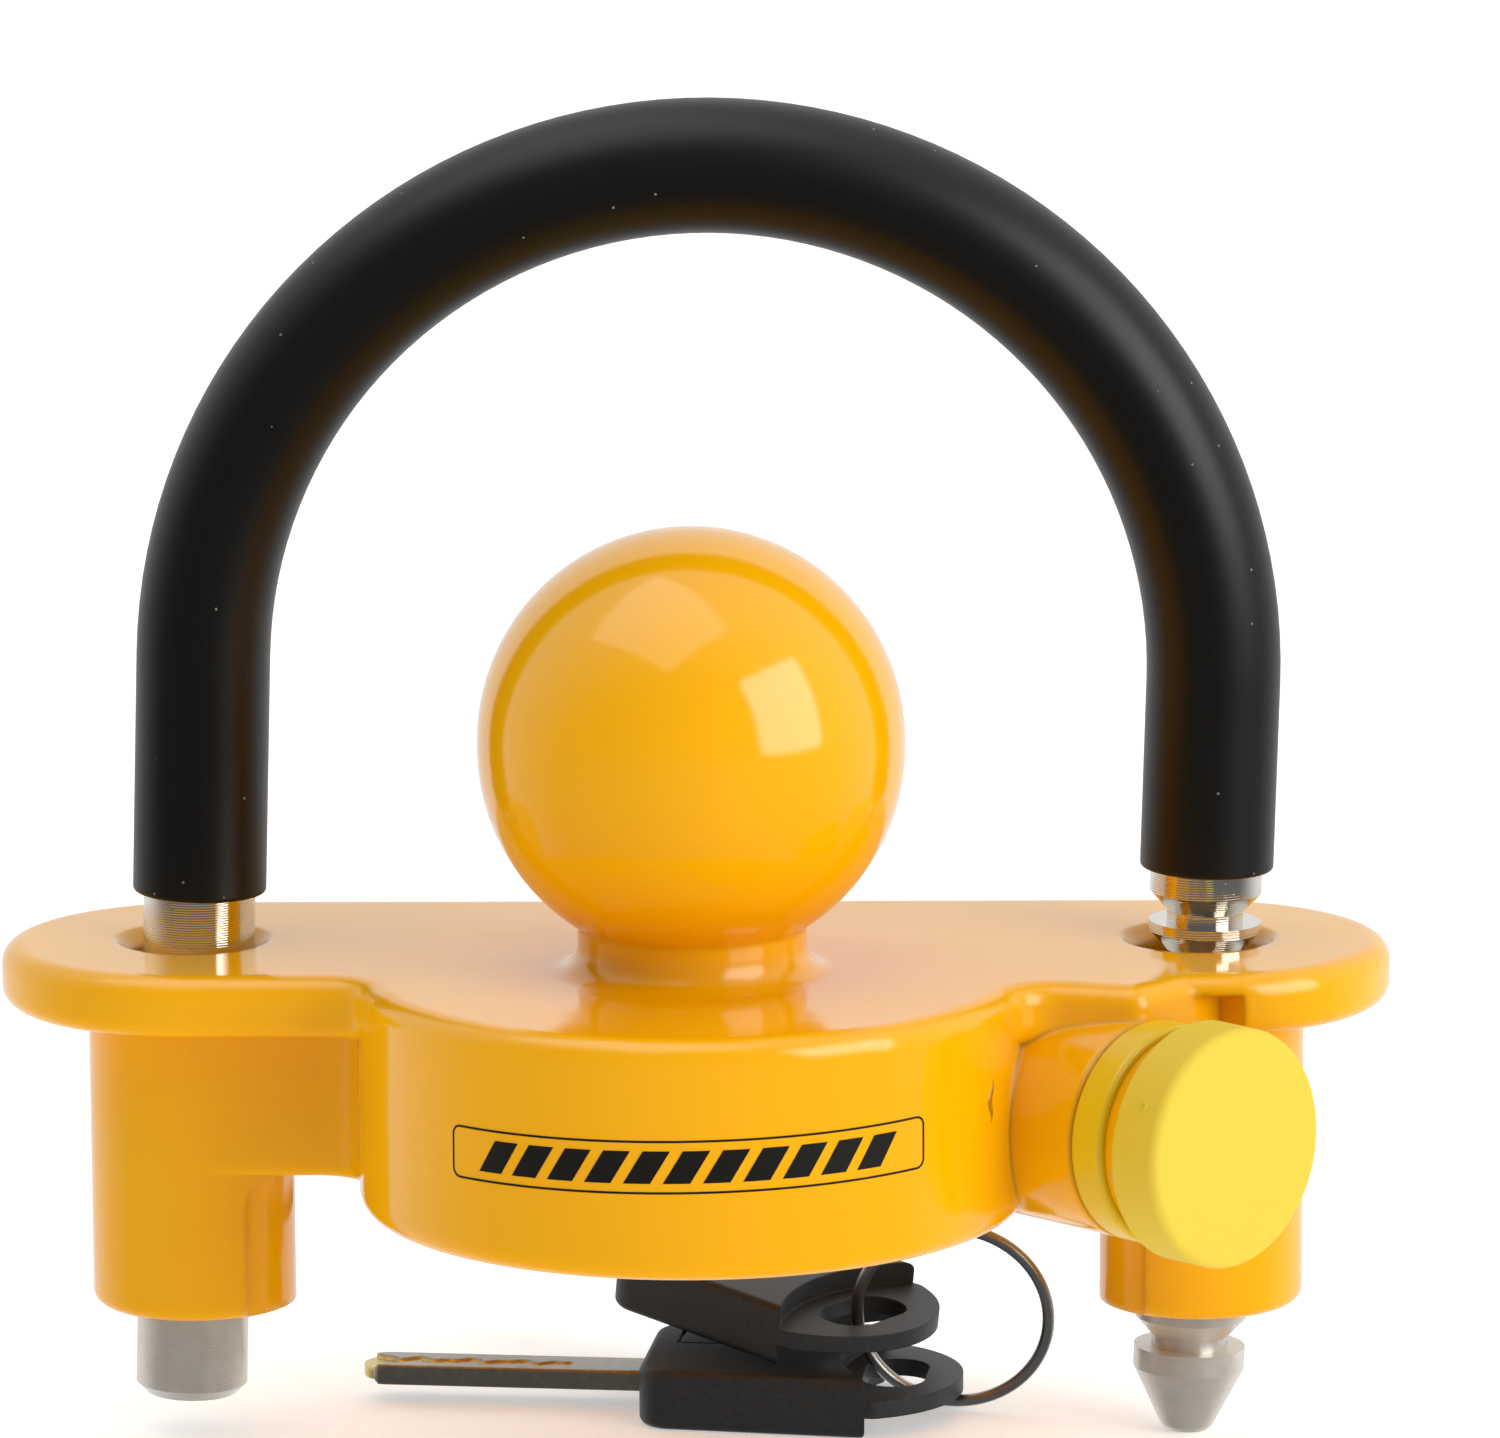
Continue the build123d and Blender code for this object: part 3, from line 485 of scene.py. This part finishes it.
lock_axis = Vector((math.sqrt(0.5), -math.sqrt(0.5), 0.0))
lock_across = Vector((-math.sqrt(0.5), -math.sqrt(0.5), 0.0))
lock_middle = Vector((0.04021, -0.00019, -0.042))
cap_radius = 0.0134
mark_along = 0.0250
mark_angle = math.radians(28)
mark_radius = 0.0007
mark_height = 0.00016
mark_crest = 0.62             # where its rim stands over its radius
mark_rim = 0.18               # and how wide the rim is
mark_sink = 0.00004           # how far its edge lies under the skin


def gate_mark_points():
    """A tiny raised ring laid on the cap's side: rings of points round a spot, whose height over the
    cap's cylinder is a bump at two thirds of the radius and sinks under the skin at the edge."""
    shares = np.linspace(0.02, 1.0, 12)
    ways = np.linspace(0.0, 2 * math.pi, 24, endpoint=False)
    share, way = np.meshgrid(shares, ways, indexing="ij")
    lift = mark_height * np.exp(-((share - mark_crest) / mark_rim) ** 2) - mark_sink * share**6
    along = mark_along + mark_radius * share * np.cos(way)
    angle = mark_angle + mark_radius * share * np.sin(way) / cap_radius
    reach = (cap_radius + lift)[..., None]
    upward_axis = np.array([0.0, 0.0, 1.0])
    out = np.cos(angle)[..., None] * np.array(lock_across) + np.sin(angle)[..., None] * upward_axis
    return np.array(lock_middle) + along[..., None] * np.array(lock_axis) + reach * out


gate_mark = grid_mesh("cap_gate_mark", gate_mark_points(), wrap=True, cap=True)
gate_mark.data.materials.append(matte_vinyl)
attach(gate_mark, "cap")


# ------------------------------------------------------------------ key heads and ring
# Each key has a moulded slate-black grip with a spark-eroded texture, and both hang on a thin wire
# ring.
grip_grain = 0.0005
grip_edge = 0.0003
grip_relief = 0.00006


def grip_plastic():
    """Moulded nylon: dark slate, satin, with an even eroded grain."""
    material, tree = new_finish("grip_nylon")
    place = add(tree, "TexCoord").outputs["Object"]
    grain = add(tree, "TexNoise", {"Vector": place, "Scale": 1 / grip_grain, "Detail": 3.0})
    tint = add(tree, "Mix", {"Factor": grain.outputs[0], "A": linear("#1C2125"), "B": linear("#33393D")},
               data_type="RGBA")
    soft = add(tree, "Bevel", {"Radius": grip_edge}, samples=4)
    bump = add(tree, "Bump", {"Height": grain.outputs[0], "Distance": grip_relief, "Strength": 0.6,
                              "Normal": soft.outputs[0]})
    surface(tree, Base_Color=tint.outputs["Result"], Roughness=0.5, Normal=bump.outputs[0])
    return material


grip = grip_plastic()
for node in ("key_a_head", "key_b_head"):
    paint_on(node, grip)
paint_on("key_ring", steel)


# ------------------------------------------------------------------ key blades
# Each blade is a flat nickel-plated brass bar with a rounded tip. A wavy track milled along both
# faces cuts through the plate and shows the brass.
blade_width = 0.0062
blade_thickness = 0.0024
blade_length = 0.033
blade_root = 0.012
blade_mid_z = 0.0035
tip_length = 0.0028
track_start = 0.0085
track_depth = 0.0005
track_offset = 0.0004
track_half_width = 0.00075
track_widening = 0.0004       # over the first stretch
track_stretch = 0.02
track_mouth = 0.002           # how much the track opens at the tip, over its last length
track_mouth_length = 0.004
long_wave = (0.0057, 0.00035)    # pitch and height of each wave in the track's middle
short_wave = (0.0031, 0.00025)
edge_width = 0.0002
ramp_length = 0.0008
blade_corner = 0.0003
blade_scuff = 0.0009
scuff_depth = 0.00005
corner_start = 0.93           # where the side's rounding starts over the half width
eye_along = 0.0288
eye_shift = -0.0043
stack_rise = 0.00735
key_a_root = (-0.006, 0.027)
key_a_heading = -96
key_b_swing = -30
key_b_tilt = -6.5


def blade_points(phase):
    """Stations run from the root to the tip. The section is a flat bar whose half width shrinks by a
    circle's arc over the tip. Both faces sink by the track's depth where a point lies nearer to the
    track's middle, a sum of two sines along the blade, than the track's half width, which opens out
    at the tip. Also gives how deep in the track each point is, from 0 to 1."""
    s = np.concatenate([np.linspace(-blade_root, track_start - 0.001, 8),
                        np.linspace(track_start, blade_length, 200)])
    t = np.linspace(-1.0, 1.0, 41)
    into_tip = np.clip((s - (blade_length - tip_length)) / tip_length, 0.0, 0.985)
    half = blade_width / 2 * np.sqrt(1 - into_tip**2)
    y = half[:, None] * t[None, :]
    middle = track_offset + long_wave[1] * np.sin(2 * math.pi * s / long_wave[0] + phase)
    middle = middle + short_wave[1] * np.sin(2 * math.pi * s / short_wave[0] + 2 * phase)
    opening = np.clip((s - (blade_length - track_mouth_length)) / track_mouth_length, 0.0, 1.0)
    widening = np.clip((s - track_start) / track_stretch, 0.0, 1.0)
    reach = track_half_width + track_widening * widening + track_mouth * opening
    begins = np.clip((s - track_start) / ramp_length, 0.0, 1.0)
    inside = (reach[:, None] - np.abs(y - middle[:, None])) / edge_width
    edge = np.clip(inside, 0.0, 1.0) * begins[:, None]
    sunk = edge * edge * (3 - 2 * edge)
    corner = np.clip((np.abs(t) - corner_start) / (1 - corner_start), 0.0, 1.0) ** 2 * blade_corner
    z = blade_thickness / 2 - corner[None, :] - track_depth * sunk
    along = np.repeat(-s[:, None], t.size, axis=1)
    top = np.stack([y, along, blade_mid_z + z], axis=-1)
    under = np.stack([y, along, blade_mid_z - z], axis=-1)[:, ::-1]
    depth = np.concatenate([sunk, sunk[:, ::-1]], axis=1)
    return np.concatenate([top, under], axis=1), depth


def blade_metal():
    """Nickel plate with brass where the cutter went through it, which is rougher and bright yellow."""
    material, tree = new_finish("plated_blade")
    place = add(tree, "TexCoord").outputs["Object"]
    cut = add(tree, "Attribute", attribute_name="track").outputs["Fac"]
    cloud = add(tree, "TexNoise", {"Vector": place, "Scale": 1 / blade_scuff, "Detail": 3.0})
    plate = add(tree, "Mix", {"Factor": cloud.outputs[0], "A": linear("#8E8880"), "B": linear("#B3ACA0")},
                data_type="RGBA")
    bare = add(tree, "Mix", {"Factor": cloud.outputs[0], "A": linear("#C9A85C"), "B": linear("#E9D79A")},
               data_type="RGBA")
    tint = add(tree, "Mix", {"Factor": cut, "A": plate.outputs["Result"], "B": bare.outputs["Result"]},
               data_type="RGBA")
    bump = add(tree, "Bump", {"Height": cloud.outputs[0], "Distance": scuff_depth, "Strength": 0.6})
    surface(tree, Base_Color=tint.outputs["Result"], Metallic=1.0, Roughness=0.32, Normal=bump.outputs[0])
    return material


def upright(degrees):
    return Matrix.Rotation(math.radians(degrees), 4, "Z")


key_a_place = Matrix.Translation((*key_a_root, floor_z)) @ upright(key_a_heading)
key_b_place = key_a_place @ Matrix.Translation((0, eye_along + eye_shift, stack_rise))
key_b_place = key_b_place @ upright(key_b_swing)
key_b_place = key_b_place @ Matrix.Rotation(math.radians(key_b_tilt), 4, "X")
key_b_place = key_b_place @ Matrix.Translation((0, -eye_along, 0))

plated = blade_metal()
for name, place, phase in (("key_a_blade", key_a_place, 0.4), ("key_b_blade", key_b_place, 1.9)):
    points, depth = blade_points(phase)
    blade = grid_mesh(name + "_milled", points, wrap=True, cap=True)
    cut = blade.data.attributes.new("track", "FLOAT", "POINT")
    cut.data.foreach_set("value", depth.ravel())
    blade.data.transform(place)
    blade.data.materials.append(plated)
    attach(blade, "keys")
    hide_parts(name)
